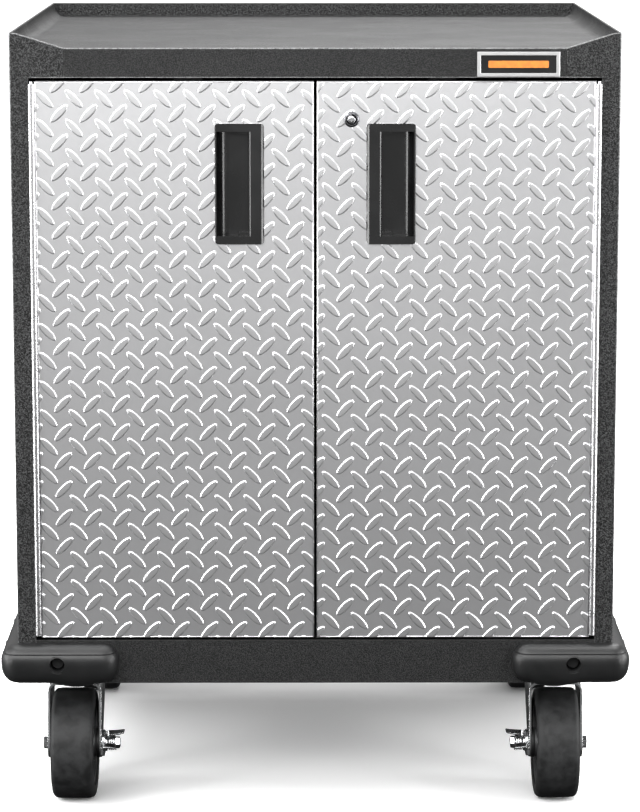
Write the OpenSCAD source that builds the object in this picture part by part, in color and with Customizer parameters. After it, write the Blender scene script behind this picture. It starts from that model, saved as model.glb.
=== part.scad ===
// Rolling two-door steel tool cabinet, built from folded sheet, with flush pulls,
// a cam lock, continuous hinges, corner bumpers, two braked swivel casters at the
// front and two rigid casters at the rear.
// Frame: +Z up, the front faces -Y, the origin is on the floor under the middle.
// Everything on the +X half is written once and mirrored for the -X half.

/* [Cabinet body] */
// Width of the steel body, without the bumpers
body_w = 672; // [600:1:760]
// Depth of the steel body, without the bumpers
body_d = 596; // [500:1:640]
// Height of the rim above the floor
total_h = 889; // [800:1:960]
// Height of the body's lower edge above the floor
body_bottom = 154; // [154:1:160]
// Thickness of the body's sheet steel
sheet = 1.2; // [1:0.1:2]

/* [Top tray] */
// Depth of the tray below its rim
rim_h = 17; // [10:1:30]
// Radius of the bend where the tray's sides turn up
tray_bend = 14; // [6:1:16]
// Width of the corner ear on the front, where the rim runs down to the rail
ear_w = 59.7; // [40:0.1:80]
// Flat length on top of the ear before it slopes
ear_flat = 7; // [3:1:15]

/* [Door frame] */
// Width of the stile beside each door
stile_w = 20.4; // [18:0.1:30]
// Height of the rail above the doors
top_rail_h = 32.4; // [28:0.1:45]
// Height of the rail below the doors
bottom_rail_h = 50; // [50:1:70]
// Depth of the folds behind the stiles
return_d = 25; // [20:1:30]

/* [Doors] */
// Thickness of a door
door_t = 20; // [20:1:24]
// Half of the gap between the two doors
half_gap = 1.7; // [1:0.1:3]
// Gap above a door
gap_top = 3.9; // [2:0.1:6]
// Gap below a door
gap_bottom = 3; // [2:0.1:6]
// Thickness of the door's skins
skin = 1; // [0.8:0.1:1.5]

/* [Hinges] */
// Outer radius of the hinge barrel
knuckle_r = 3.4; // [3:0.1:4]
// Radius of the hinge pin
hinge_pin_r = 1.6; // [1.2:0.1:1.8]
// Number of knuckles on each hinge
knuckles = 24; // [12:2:30]

/* [Pulls] */
// Height of a pull's bezel
pull_h = 134; // [110:1:150]
// Height of the middle of a pull above the floor
pull_z = 722.5; // [600:0.5:740]
// Distance from the door's middle plane to the pull's near edge
pull_x = 56.5; // [50:0.5:70]
// Width of the pull
pull_w = 54.5; // [50:0.5:60]
// How far the bezel stands out of the door
bezel_t = 3; // [2:0.5:4]
// Depth of the finger pocket behind the door's face
pocket_d = 15.5; // [12:0.5:16]

/* [Lock] */
// Sideways place of the lock
lock_x = 39.9; // [35:0.1:45]
// Height of the lock above the floor
lock_z = 794; // [790:1:798]
// Length of the cam from the plug's axis to its tip
cam_l = 52; // [50:1:54]

/* [Shelf] */
// Height of the shelf's upper face
shelf_z = 520; // [300:1:700]
// Depth of the shelf's folded edge
shelf_fold = 25; // [15:1:30]

/* [Bumpers] */
// How far a bumper stands out
bumper_out = 19.6; // [12:0.1:25]
// Length of a bumper's straight part across the front or back
bumper_front = 94; // [60:1:120]
// Length of a bumper's straight part along the side
bumper_side = 175; // [170:1:200]

/* [Casters] */
// Outer radius of a wheel
wheel_r = 63.5; // [62:0.5:64]
// Width of the tread
wheel_w = 49; // [44:1:50]
// Sideways place of each caster
caster_x = 278; // [265:1:280]
// Distance from a front or back face to the wheel's axle
axle_in = 69; // [66:1:75]
// Distance between a swivel caster's vertical axis and its axle
trail = 38; // [30:1:40]

/* [Hidden] */
$fn = 64;

// Colours
graphite = [0.25, 0.25, 0.26];
tread_silver = [0.78, 0.78, 0.79];
zinc = [0.72, 0.73, 0.75];
black = [0.06, 0.06, 0.06];
rubber = [0.17, 0.17, 0.18];

// Places that follow from the driving sizes
side_x = body_w / 2;
front_y = -body_d / 2;
back_y = body_d / 2;
tray_z = total_h - rim_h;
opening_top = tray_z - top_rail_h;
opening_bottom = body_bottom + bottom_rail_h;
inner_x = side_x - sheet;
stile_x = side_x - stile_w;
floor_top = opening_bottom - sheet;
foot_fold = 16;
seam = 0.5;
rail_d = 22;

// Doors and hinges
hinge_x = stile_x - knuckle_r + 0.1;
hinge_y = front_y - 2.4;
door_x = hinge_x - 3.3;
door_top = opening_top - gap_top;
door_bottom = opening_bottom + gap_bottom;
door_back = front_y + door_t;
hinge_low = door_bottom + 3;
hinge_high = door_top - 2.7;
pin_proud = 3;
knuckle_pitch = (hinge_high - hinge_low) / knuckles;
knuckle_gap = 0.4;
pin_clearance = 0.05;
leaf_deep = 22;

// Pulls: the bezel, the pocket's box and the cut-out in the door's skin
pull_far = pull_x + pull_w;
bezel_slope = 3;
bezel_corner = 4;
lip_r = 3;
lip_x = pull_x + 14;
pocket_far = pull_far - 2;
pocket_band = 8.9;
box_near = pull_x + 4.5;
box_far = pull_far - 0.8;
box_half = pull_h / 2 - 4;

// Lock
lock_barrel_r = 6.4;
lock_plug_r = 4.4;
lock_face_r = 8;
cam_y = front_y + 24.2;
cam_t = 2;

// Magnetic catches
catch_x = [120, 160];
strike_t = 1.2;
catch_z = [813, 831];

// Shelf
shelf_half = side_x - 6;
shelf_front = front_y + 43;
shelf_back = back_y - 8;
standard_y = [front_y + 83, back_y - 63];
standard_t = 3;
slot_pitch = 25.4;

// Bumpers
bumper_mid_z = body_bottom + 28.5;
bumper_up = 18;
bumper_down = 27;
bumper_screw_z = body_bottom + 25.7;
bumper_screw_x = side_x - 45.2;
bumper_screw_y = [50, 150];
screw_r = 3;
counterbore_r = 8;
counterbore_floor = 4;

// Casters
swivel_y = front_y + axle_in + trail;
front_axle_y = front_y + axle_in;
rear_axle_y = back_y - axle_in;
plate_w = 92;
plate_l = 102;
plate_t = 3.5;
plate_z = body_bottom - plate_t;
bolt_dx = 35;
bolt_dy = 40;
bolt_r = 4;
fork_inner = 28;
fork_t = 3;
fork_outer = fork_inner + fork_t;
crown_z = 133;
axle_r = 4;
sleeve_r = 6.5;
hub_r = 18;
rim_r = 45;
core_r = 50;
running = 0.08;
channel_w = 112;
channel_t = 2;

// Points along an arc, from angle a to angle b, in n steps
function arc(cx, cy, r, a, b, n) =
    [for (i = [0:n]) [cx + r * cos(a + (b - a) * i / n), cy + r * sin(a + (b - a) * i / n)]];

// A flat box between two values on each axis, with round corners
module rounded_box(x, y, r) polygon(concat(
    arc(x[1] - r, y[1] - r, r, 0, 90, 6), arc(x[0] + r, y[1] - r, r, 90, 180, 6),
    arc(x[0] + r, y[0] + r, r, 180, 270, 6), arc(x[1] - r, y[0] + r, r, 270, 360, 6)
));

// A box between two values on each axis
module slab(x, y, z)
    translate([x[0], y[0], z[0]]) cube([x[1] - x[0], y[1] - y[0], z[1] - z[0]]);

// A round bar along X, Y or Z from a to b
module bar_x(r, a, b) translate([a, 0, 0]) rotate([0, 90, 0]) cylinder(r = r, h = b - a);
module bar_y(r, a, b) translate([0, b, 0]) rotate([90, 0, 0]) cylinder(r = r, h = b - a);
module bar_z(r, a, b) translate([0, 0, a]) cylinder(r = r, h = b - a);

// A hexagonal bar along X or Z, af across its flats
module hex_x(af, a, b)
    translate([a, 0, 0]) rotate([0, 90, 0]) cylinder(r = af / sqrt(3), h = b - a, $fn = 6);
module hex_z(af, a, b) translate([0, 0, a]) cylinder(r = af / sqrt(3), h = b - a, $fn = 6);

module on_left() mirror([1, 0, 0]) children();
module on_rear() mirror([0, 1, 0]) children();

// ---- Body panels ----

// Clearance holes for the bumper's screws, across the front and through the side
module bumper_holes(r) {
    translate([bumper_screw_x, 0, bumper_screw_z]) bar_y(r, front_y - 30, front_y + 10);
    for (dy = bumper_screw_y)
        translate([0, front_y + dy, bumper_screw_z]) bar_x(r, side_x - 10, side_x + 30);
}

// One folded sheet: outer wall, stile with its ear, folds behind the stile, at the back and below
module side_panel() color(graphite) difference() {
    union() {
        slab([inner_x, side_x], [front_y, back_y], [body_bottom, total_h]);
        slab([stile_x, side_x], [front_y, front_y + sheet], [body_bottom, opening_top]);
        translate([0, front_y + sheet, 0]) rotate([90, 0, 0]) linear_extrude(sheet)
            polygon([
                [side_x, opening_top], [side_x, total_h], [side_x - ear_flat, total_h],
                [side_x - ear_w, tray_z], [side_x - ear_w, opening_top]
            ]);
        slab([stile_x, stile_x + sheet], [front_y, front_y + return_d], [opening_bottom, opening_top]);
        slab([side_x - 20, side_x], [back_y - 2 * sheet, back_y - sheet], [body_bottom, tray_z - sheet]);
        slab([side_x - foot_fold, side_x], [front_y, back_y - sheet],
            [body_bottom, body_bottom + sheet]);
    }
    bumper_holes(screw_r + 0.2);
    on_rear() bumper_holes(screw_r + 0.2);
}

// Closes the back and stands up behind the tray as its rear rim
module back_panel() color(graphite) difference() {
    union() {
        slab([-inner_x, inner_x], [back_y - sheet, back_y], [body_bottom, total_h]);
        slab([-inner_x, inner_x], [back_y - 3 * sheet, back_y - sheet], [tray_z, total_h]);
        slab([foot_fold + 0.2 - side_x, side_x - foot_fold - 0.2], [back_y - 12, back_y],
            [body_bottom, body_bottom + sheet]);
    }
    on_rear() bumper_holes(screw_r + 0.2);
    on_rear() on_left() bumper_holes(screw_r + 0.2);
}

// The work surface, with both sides turned up in a wide bend
module top_tray() color(graphite) {
    bend_x = inner_x - sheet - tray_bend;
    bend_z = tray_z + tray_bend;
    right_inside = arc(bend_x, bend_z, tray_bend, -90, 0, 8);
    right_outside = arc(bend_x, bend_z, tray_bend + sheet, 0, -90, 8);
    right = concat(right_inside, [[inner_x - sheet, total_h], [inner_x, total_h]], right_outside);
    left = [for (i = [len(right) - 1:-1:0]) [-right[i][0], right[i][1]]];
    translate([0, back_y - 3 * sheet, 0]) rotate([90, 0, 0])
        linear_extrude(body_d - 4 * sheet) polygon(concat(right, left));
}

// A channel between the ears, with a lip behind it for the lock's cam
module front_top_rail() color(graphite) {
    half = side_x - ear_w - seam;
    long = stile_x - 1.2;
    slab([-half, half], [front_y, front_y + sheet], [opening_top, tray_z + 0.3]);
    slab([-long, long], [front_y + sheet, front_y + rail_d], [opening_top, opening_top + sheet]);
    slab([-long, long], [front_y + rail_d - sheet, front_y + rail_d], [opening_top, opening_top + 20]);
    slab([-long, long], [front_y + sheet, front_y + 18], [tray_z - 2 * sheet, tray_z - sheet]);
}

// A channel between the stiles under the doors
module front_bottom_rail() color(graphite) difference() {
    half = stile_x - 0.2;
    union() {
        slab([-half, half], [front_y, front_y + sheet], [body_bottom, opening_bottom]);
        slab([-half, half], [front_y, front_y + 24], [floor_top, opening_bottom]);
        slab([-half, half], [front_y, front_y + 24], [body_bottom, body_bottom + sheet]);
    }
    bumper_holes(screw_r + 0.2);
    on_left() bumper_holes(screw_r + 0.2);
}

// The cabinet's floor, with its edges turned down
module bottom_pan() color(graphite) {
    slab([-inner_x, inner_x], [front_y + sheet, back_y - 2 * sheet], [floor_top - sheet, floor_top]);
    for (s = [-1, 1])
        translate([s * (inner_x - 7 - sheet / 2), 0, 0])
            slab([-sheet / 2, sheet / 2], [front_y + 30, back_y - 30], [floor_top - 20, floor_top]);
}

// A deep channel across the cabinet above a pair of casters
module caster_channel(y) difference() {
    half = side_x - foot_fold - 0.2;
    union() {
        slab([-half, half], [y - channel_w / 2, y + channel_w / 2],
            [body_bottom, body_bottom + channel_t]);
        for (e = [y - channel_w / 2, y + channel_w / 2 - channel_t])
            slab([-half, half], [e, e + channel_t], [body_bottom, floor_top - sheet]);
    }
    for (x = [-caster_x, caster_x]) translate([x, y, 0]) plate_holes(body_bottom);
}
module caster_channels() color(graphite) {
    caster_channel(swivel_y);
    caster_channel(rear_axle_y);
}

// ---- Shelf ----

module shelf() color(graphite) {
    slab([-shelf_half, shelf_half], [shelf_front, shelf_back], [shelf_z - sheet, shelf_z]);
    for (x = [-shelf_half, shelf_half - sheet])
        slab([x, x + sheet], [shelf_front, shelf_back], [shelf_z - shelf_fold, shelf_z]);
    for (y = [shelf_front, shelf_back - sheet])
        slab([-shelf_half, shelf_half], [y, y + sheet], [shelf_z - shelf_fold, shelf_z]);
}

// Slotted strips on the side walls
module shelf_standards() color(zinc) for (s = [0, 1], y = standard_y) mirror([s, 0, 0]) difference() {
    slab([inner_x - standard_t, inner_x], [y - 8, y + 8], [floor_top + 12, opening_top - 8]);
    for (z = [floor_top + 30:slot_pitch:opening_top - 20])
        slab([inner_x - 4, inner_x - 1], [y - 3, y + 3], [z, z + 8]);
}

// Small angle clips that stand on the strips and carry the shelf's folded edge
module shelf_clips() color(zinc) for (s = [0, 1], y = standard_y) mirror([s, 0, 0]) {
    under = shelf_z - shelf_fold;
    slab([inner_x - standard_t - 14, inner_x - standard_t], [y - 7, y + 7], [under - 1.5, under]);
    slab([inner_x - standard_t - 1.5, inner_x - standard_t], [y - 7, y + 7], [under - 16, under]);
}

// ---- Hinges ----

// A leaf at an offset from the pin, with every second knuckle from the first one given
module hinge_leaf(near, far, first) color(zinc) translate([hinge_x, hinge_y, 0]) difference() {
    union() {
        slab([near, far], [3.2, leaf_deep], [hinge_low, hinge_high]);
        for (k = [first:2:knuckles - 1]) {
            z = hinge_low + k * knuckle_pitch;
            bar_z(knuckle_r, z + knuckle_gap / 2, z + knuckle_pitch - knuckle_gap / 2);
            slab([near, far], [0, 4], [z + knuckle_gap / 2, z + knuckle_pitch - knuckle_gap / 2]);
        }
    }
    bar_z(hinge_pin_r + pin_clearance, hinge_low - 1, hinge_high + 1);
}
module frame_hinge_leaf() hinge_leaf(2.1, 3.3, 0);
module door_hinge_leaf() hinge_leaf(-3.3, -2.1, 1);
module hinge_pins() color(zinc) for (x = [-hinge_x, hinge_x])
    translate([x, hinge_y, 0]) bar_z(hinge_pin_r, hinge_low, hinge_high + pin_proud);

// ---- Doors ----

module lock_hole(y0, y1) translate([lock_x, 0, lock_z]) bar_y(lock_barrel_r + 0.2, y0, y1);

// The outer pan: a face with four edges turned back
module door_skin(locked) color(tread_silver) difference() {
    slab([half_gap, door_x], [front_y, door_back], [door_bottom, door_top]);
    slab([half_gap + skin, door_x - skin], [front_y + skin, door_back + 1],
        [door_bottom + skin, door_top - skin]);
    slab([box_near - 0.2, box_far + 0.2], [front_y - 1, front_y + skin + 1],
        [pull_z - box_half - 0.2, pull_z + box_half + 0.2]);
    if (locked) lock_hole(front_y - 1, front_y + skin + 1);
}

// The inner pan, pushed into the back of the outer one
module door_inner_panel(locked) color(graphite) {
    near = half_gap + skin;
    far = door_x - skin;
    low = door_bottom + skin;
    high = door_top - skin;
    difference() {
        slab([near, far], [door_back - 10, door_back], [low, high]);
        slab([near + skin, far - skin], [door_back - 11, door_back - skin], [low + skin, high - skin]);
        if (locked) lock_hole(door_back - 5, door_back + 1);
    }
}

// A flush pull: sloped bezel, and a finger pocket that reaches behind the rounded lip
module door_handle() color(black) {
    low = pull_z - pull_h / 2;
    pocket_low = low + pocket_band;
    pocket_high = low + pull_h - pocket_band;
    pocket_floor = front_y + pocket_d;
    difference() {
        union() {
            intersection() {
                translate([0, 0, low]) linear_extrude(pull_h) polygon([
                    [pull_x, front_y], [pull_x + bezel_slope, front_y - bezel_t],
                    [pull_far - 0.8, front_y - bezel_t], [pull_far, front_y - bezel_t + 0.8],
                    [pull_far, front_y]
                ]);
                translate([0, front_y + 1, 0]) rotate([90, 0, 0]) linear_extrude(bezel_t + 2)
                    rounded_box([pull_x, pull_far], [low, low + pull_h], bezel_corner);
            }
            slab([box_near, box_far], [front_y, pocket_floor + 2], [pull_z - box_half, pull_z + box_half]);
        }
        translate([0, 0, pocket_low]) linear_extrude(pocket_high - pocket_low) polygon(concat(
            [[pocket_far, front_y - bezel_t - 1]],
            arc(pocket_far - pocket_d, front_y, pocket_d, 0, 90, 10),
            [[pull_x + 9.5, pocket_floor], [pull_x + 7.5, pocket_floor - 2]],
            [[pull_x + 7.5, front_y + lip_r]],
            arc(lip_x, front_y, lip_r, 90, -90, 10),
            [[lip_x, front_y - bezel_t - 1]]
        ));
    }
    for (z = [pocket_low - 1, pocket_high - 3.2])
        slab([lip_x + 3, lip_x + 14], [front_y + 5, pocket_floor + 0.5], [z, z + 4.2]);
}

module strike_plate() color(zinc)
    slab(catch_x, [door_back, door_back + strike_t], [catch_z[0] - 1, catch_z[1] + 1]);

// A magnet block hung behind the top rail's lip
module magnet_catches() color(black) for (s = [0, 1]) mirror([s, 0, 0]) {
    face = door_back + strike_t + 0.3;
    slab(catch_x, [face, face + 14], catch_z);
    slab([catch_x[0] + 5, catch_x[1] - 5], [front_y + rail_d, front_y + rail_d + 1.5],
        [catch_z[1] - 2, opening_top + 18]);
}

// ---- Lock ----

module at_lock() translate([lock_x, 0, lock_z]) children();

module lock_housing() color(zinc) at_lock() difference() {
    union() {
        bar_y(lock_face_r, front_y - 2.6, front_y);
        bar_y(lock_face_r - 1.4, front_y - 4.2, front_y - 2.6);
        bar_y(lock_barrel_r, front_y, cam_y - 0.4);
    }
    bar_y(lock_plug_r + running, front_y - 5, cam_y);
}

module lock_nut() color(zinc) at_lock() difference() {
    translate([0, door_back + 3.4, 0]) rotate([90, 0, 0]) cylinder(r = 11, h = 3.4, $fn = 6);
    bar_y(lock_barrel_r + running, door_back - 1, door_back + 5);
}

// The turning plug with its key slot and the stud that carries the cam
module lock_plug() color(zinc) at_lock() difference() {
    union() {
        bar_y(lock_plug_r, front_y - 4.4, cam_y);
        bar_y(3, cam_y, cam_y + cam_t + 4);
    }
    slab([-0.9, 0.9], [front_y - 5, front_y + 10], [-3.2, 3.2]);
}

// Points sideways when unlocked; a quarter turn puts its tip behind the top rail's lip
module lock_cam() color(zinc) at_lock() {
    difference() {
        union() {
            bar_y(8, cam_y, cam_y + cam_t);
            slab([0, cam_l], [cam_y, cam_y + cam_t], [-6, 6]);
        }
        bar_y(3.05, cam_y - 1, cam_y + cam_t + 1);
    }
    difference() {
        translate([0, cam_y + cam_t + 3, 0]) rotate([90, 0, 0]) cylinder(r = 5.8, h = 3, $fn = 6);
        bar_y(3.05, cam_y, cam_y + cam_t + 4);
    }
}

// ---- Badge: a plain plate in a frame ----

badge_x = [177.8, 268.8];
badge_z = [opening_top + 1.3, opening_top + 28.7];
badge_border = 4;
module badge_frame() color(zinc) difference() {
    slab(badge_x, [front_y - 2.2, front_y], badge_z);
    slab([badge_x[0] + badge_border, badge_x[1] - badge_border], [front_y - 3, front_y + 1],
        [badge_z[0] + badge_border, badge_z[1] - badge_border]);
}
module badge_plate() color(black)
    slab([badge_x[0] + badge_border, badge_x[1] - badge_border], [front_y - 1.4, front_y],
        [badge_z[0] + badge_border, badge_z[1] - badge_border]);

// ---- Bumpers ----

// Cross-section of a bumper: how far it stands out, against height
module bumper_profile() polygon([
    for (i = [0:16]) let (t = -90 + i * 180 / 16)
        [bumper_out * cos(t), bumper_mid_z + (t > 0 ? bumper_up : bumper_down) * sin(t)]
]);
module bumper_turn(x, y, from) translate([x, y, 0]) rotate([0, 0, from])
    rotate_extrude(angle = 90) bumper_profile();

// The corner at the front right: one arm each way, rounded ends and screws in counterbores
module bumper() color(rubber) difference() {
    union() {
        translate([side_x, front_y, 0]) rotate([90, 0, -90])
            linear_extrude(bumper_front) bumper_profile();
        translate([side_x, front_y + bumper_side, 0]) rotate([90, 0, 0])
            linear_extrude(bumper_side) bumper_profile();
        bumper_turn(side_x, front_y, -90);
        bumper_turn(side_x - bumper_front, front_y, 180);
        bumper_turn(side_x, front_y + bumper_side, 0);
    }
    bumper_holes(screw_r + 0.2);
    translate([bumper_screw_x, 0, bumper_screw_z])
        bar_y(counterbore_r, front_y - 30, front_y - counterbore_floor);
    for (dy = bumper_screw_y) translate([0, front_y + dy, bumper_screw_z])
        bar_x(counterbore_r, side_x + counterbore_floor, side_x + 30);
}

module corner_screws() {
    translate([bumper_screw_x, 0, bumper_screw_z]) {
        bar_y(screw_r, front_y - counterbore_floor, front_y + 9);
        bar_y(6.4, front_y - counterbore_floor - 3.5, front_y - counterbore_floor);
    }
    for (dy = bumper_screw_y) translate([0, front_y + dy, bumper_screw_z]) {
        bar_x(screw_r, side_x - 9, side_x + counterbore_floor);
        bar_x(6.4, side_x + counterbore_floor, side_x + counterbore_floor + 3.5);
    }
}
module bumper_screws() color(zinc) for (s = [0, 1], t = [0, 1])
    mirror([s, 0, 0]) mirror([0, t, 0]) corner_screws();

// ---- Casters ----

module plate_holes(z) for (dx = [-bolt_dx, bolt_dx], dy = [-bolt_dy, bolt_dy])
    translate([dx, dy, 0]) bar_z(bolt_r + 0.4, z - 8, z + 8);

module mounting_plate() difference() {
    slab([-plate_w / 2, plate_w / 2], [-plate_l / 2, plate_l / 2], [plate_z, body_bottom]);
    plate_holes(body_bottom);
}

module caster_bolt() {
    hex_z(13, plate_z - 5.3, plate_z);
    bar_z(bolt_r, plate_z - 1, body_bottom + channel_t + 10);
    hex_z(13, body_bottom + channel_t, body_bottom + channel_t + 6.5);
}
module caster_bolts() color(zinc) for (x = [-caster_x, caster_x], y = [swivel_y, rear_axle_y],
    dx = [-bolt_dx, bolt_dx], dy = [-bolt_dy, bolt_dy]) translate([x + dx, y + dy, 0]) caster_bolt();

// The fixed half of a swivel caster: plate, upper race and kingpin
module caster_plate() color(zinc) translate([caster_x, swivel_y, 0]) {
    mounting_plate();
    bar_z(29.5, plate_z - 3.5, plate_z);
    bar_z(7, crown_z - 1, plate_z - 3.5);
    bar_z(11, crown_z - 5.5, crown_z - 0.3);
}

// Outline of a fork's leg, seen from the side: the foot is a circle round the axle
module leg_outline(top, axle_y) {
    polygon(concat(top, [[axle_y + 11, 50.5], [axle_y - 17, wheel_r]]));
    translate([axle_y, wheel_r]) circle(r = 17);
}
module fork_leg(x) translate([x, 0, 0]) rotate([90, 0, 90]) linear_extrude(fork_t) children();

// The turning half: crown, ball cup and two raked legs
module yoke() color(zinc) translate([caster_x, swivel_y, 0]) difference() {
    union() {
        slab([-fork_outer, fork_outer], [-44, 36], [crown_z, crown_z + 3.5]);
        bar_z(34, crown_z + 3.5, crown_z + 13);
        for (x = [-fork_outer, fork_inner]) fork_leg(x)
            leg_outline([[-44, crown_z + 3.5], [36, crown_z + 3.5], [36, 118]], -trail);
    }
    bar_z(30.5, crown_z + 7, crown_z + 14);
    bar_z(7.1, crown_z - 1, crown_z + 8);
    translate([0, -trail, wheel_r]) bar_x(axle_r + 0.1, -40, 40);
}

module swivel_balls() color(zinc) translate([caster_x, swivel_y, crown_z + 10.5])
    for (i = [0:13]) rotate([0, 0, i * 360 / 14]) translate([24, 0, 0]) sphere(r = 3.35);

// A rigid fork: plate and legs in one
module rigid_fork() color(zinc) translate([caster_x, rear_axle_y, 0]) {
    mounting_plate();
    difference() {
        for (x = [-fork_outer, fork_inner]) fork_leg(x) {
            polygon([[-34, plate_z], [34, plate_z], [16.6, 59.8], [-16.6, 59.8]]);
            translate([0, wheel_r]) circle(r = 17);
        }
        translate([0, 0, wheel_r]) bar_x(axle_r + 0.1, -40, 40);
    }
}

// Bolt, sleeve, spacer washer and nut, with the nut on the inner side
module axle(nut_near) {
    hex_x(13, fork_outer, fork_outer + 5.5);
    bar_x(axle_r, -nut_near - 9, fork_outer + 1);
    difference() {
        bar_x(sleeve_r, -fork_inner, fork_inner);
        bar_x(axle_r + 0.05, -fork_inner - 1, fork_inner + 1);
    }
    difference() {
        bar_x(13, wheel_w / 2 + 0.8, fork_inner - 0.2);
        bar_x(sleeve_r + 0.1, 0, fork_outer);
    }
    difference() {
        hex_x(13, -nut_near - 6.5, -nut_near);
        bar_x(axle_r + 0.02, -nut_near - 7, 0);
    }
}

module front_axle() color(zinc) translate([caster_x, front_axle_y, wheel_r]) axle(37.6);
module rear_axles() color(zinc) for (s = [0, 1]) mirror([s, 0, 0])
    translate([caster_x, rear_axle_y, wheel_r]) axle(fork_outer);

// Black friction disc between the hub and the braked leg
module brake_disc() color(black) translate([caster_x, front_axle_y, wheel_r]) difference() {
    bar_x(18, -fork_inner + 0.2, -wheel_w / 2 - 0.8);
    bar_x(sleeve_r + 0.1, -fork_outer, 0);
}

// Rocker on the axle's nut end, with a pedal turned out at each end
module brake_lever() color(zinc) translate([caster_x, front_axle_y, wheel_r]) {
    near = fork_outer + 0.6;
    difference() {
        union() {
            bar_x(15, -near - 3, -near);
            bar_x(10, -near - 5.8, -near - 3);
            slab([-near - 3, -near], [-36, 38], [-6, 7]);
            slab([-near - 17, -near], [-38, -22], [5, 7]);
            slab([-near - 24, -near], [22, 40], [2, 4]);
        }
        bar_x(axle_r + 0.15, -near - 8, 0);
    }
}

// Hub, web and rim in one turned piece
module wheel_core(y) color(black) translate([caster_x, y, wheel_r]) rotate([0, 90, 0])
    rotate_extrude() {
        bore = sleeve_r + running;
        half = wheel_w / 2 + 0.5;
        edge = wheel_w / 2 - 2.5;
        web = edge - 5;
        polygon([
            [bore, -half], [hub_r - 1, -half], [hub_r, -web], [rim_r - 2, -web], [rim_r, -edge],
            [core_r, -edge], [core_r, edge], [rim_r, edge], [rim_r - 2, web], [hub_r, web],
            [hub_r - 1, half], [bore, half]
        ]);
    }

// Tread with rounded shoulders
module tyre(y) color(rubber) translate([caster_x, y, wheel_r]) rotate([0, 90, 0])
    rotate_extrude() {
        half = wheel_w / 2;
        polygon(concat(
            [[core_r, -half + 1.5], [core_r + 2, -half]],
            arc(wheel_r - 5, -half + 5, 5, -90, 0, 5),
            arc(wheel_r - 5, half - 5, 5, 0, 90, 5),
            [[core_r + 2, half], [core_r, half - 1.5]]
        ));
    }

// ---- Every node by its name ----

on_left() side_panel();  // left_side_panel
side_panel();  // right_side_panel
back_panel();
top_tray();
front_top_rail();
front_bottom_rail();
bottom_pan();
caster_channels();
shelf_standards();
shelf_clips();
shelf();
on_left() frame_hinge_leaf();  // left_frame_hinge_leaf
frame_hinge_leaf();  // right_frame_hinge_leaf
hinge_pins();
magnet_catches();
badge_frame();
badge_plate();
on_left() bumper();  // front_left_bumper
bumper();  // front_right_bumper
on_left() on_rear() bumper();  // rear_left_bumper
on_rear() bumper();  // rear_right_bumper
bumper_screws();
caster_bolts();
on_left() caster_plate();  // front_left_caster_plate
caster_plate();  // front_right_caster_plate
on_left() rigid_fork();  // rear_left_caster_fork
rigid_fork();  // rear_right_caster_fork
rear_axles();
on_left() door_skin(false);  // left_door_skin
on_left() door_inner_panel(false);  // left_door_inner_panel
on_left() door_handle();  // left_door_handle
on_left() door_hinge_leaf();  // left_door_hinge_leaf
on_left() strike_plate();  // left_strike_plate
door_skin(true);  // right_door_skin
door_inner_panel(true);  // right_door_inner_panel
door_handle();  // right_door_handle
door_hinge_leaf();  // right_door_hinge_leaf
strike_plate();  // right_strike_plate
lock_housing();
lock_nut();
lock_plug();
lock_cam();
on_left() yoke();  // front_left_yoke
on_left() swivel_balls();  // front_left_swivel_balls
on_left() front_axle();  // front_left_axle
on_left() brake_disc();  // front_left_brake_disc
on_left() brake_lever();  // front_left_brake_lever
on_left() wheel_core(front_axle_y);  // front_left_wheel_core
on_left() tyre(front_axle_y);  // front_left_tyre
yoke();  // front_right_yoke
swivel_balls();  // front_right_swivel_balls
front_axle();  // front_right_axle
brake_disc();  // front_right_brake_disc
brake_lever();  // front_right_brake_lever
wheel_core(front_axle_y);  // front_right_wheel_core
tyre(front_axle_y);  // front_right_tyre
on_left() wheel_core(rear_axle_y);  // rear_left_wheel_core
on_left() tyre(rear_axle_y);  // rear_left_tyre
wheel_core(rear_axle_y);  // rear_right_wheel_core
tyre(rear_axle_y);  // rear_right_tyre
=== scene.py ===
# %% [markdown]
# # A rolling tool cabinet
# The object is a folded-steel cabinet with tread-plate doors, moulded bumpers and casters.
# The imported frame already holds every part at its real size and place, so this lesson only makes
# the looks: it dresses the flat sheet parts with materials and soft edges, and builds the pieces
# whose shape a plain solid can't show, such as the raised lugs, the bumpers and the wheels.

# %% Load the frame
import math

import bmesh
import bpy
from mathutils import Matrix, Vector


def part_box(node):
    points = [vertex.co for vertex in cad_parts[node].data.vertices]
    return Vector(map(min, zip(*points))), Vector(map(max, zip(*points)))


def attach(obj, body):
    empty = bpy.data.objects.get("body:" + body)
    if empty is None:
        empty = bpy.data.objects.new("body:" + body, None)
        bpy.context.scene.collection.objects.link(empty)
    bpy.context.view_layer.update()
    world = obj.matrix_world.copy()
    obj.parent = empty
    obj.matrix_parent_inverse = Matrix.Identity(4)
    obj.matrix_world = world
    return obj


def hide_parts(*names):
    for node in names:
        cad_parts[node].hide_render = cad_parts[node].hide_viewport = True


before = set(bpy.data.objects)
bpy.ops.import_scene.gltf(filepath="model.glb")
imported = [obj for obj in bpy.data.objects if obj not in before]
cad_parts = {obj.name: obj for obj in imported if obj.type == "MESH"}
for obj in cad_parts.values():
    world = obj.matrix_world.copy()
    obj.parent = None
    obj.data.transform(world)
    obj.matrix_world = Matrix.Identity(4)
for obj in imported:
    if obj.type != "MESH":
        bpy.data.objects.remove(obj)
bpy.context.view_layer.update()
MM = 0.001
SIDES = ("left", "right")
panel_low, panel_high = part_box("right_side_panel")
side_x = panel_high.x
front_y = panel_low.y
back_y = panel_high.y
rim_z = panel_high.z
body_bottom = panel_low.z
tray_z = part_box("front_top_rail")[1].z

# %% [markdown]
# ## Small helpers for shader nodes
# Every finish here is a short tree of nodes. A few helpers keep each tree readable: they add a node
# with its values, join a value or another node to a socket, mix two colours, and stretch a range.

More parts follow.
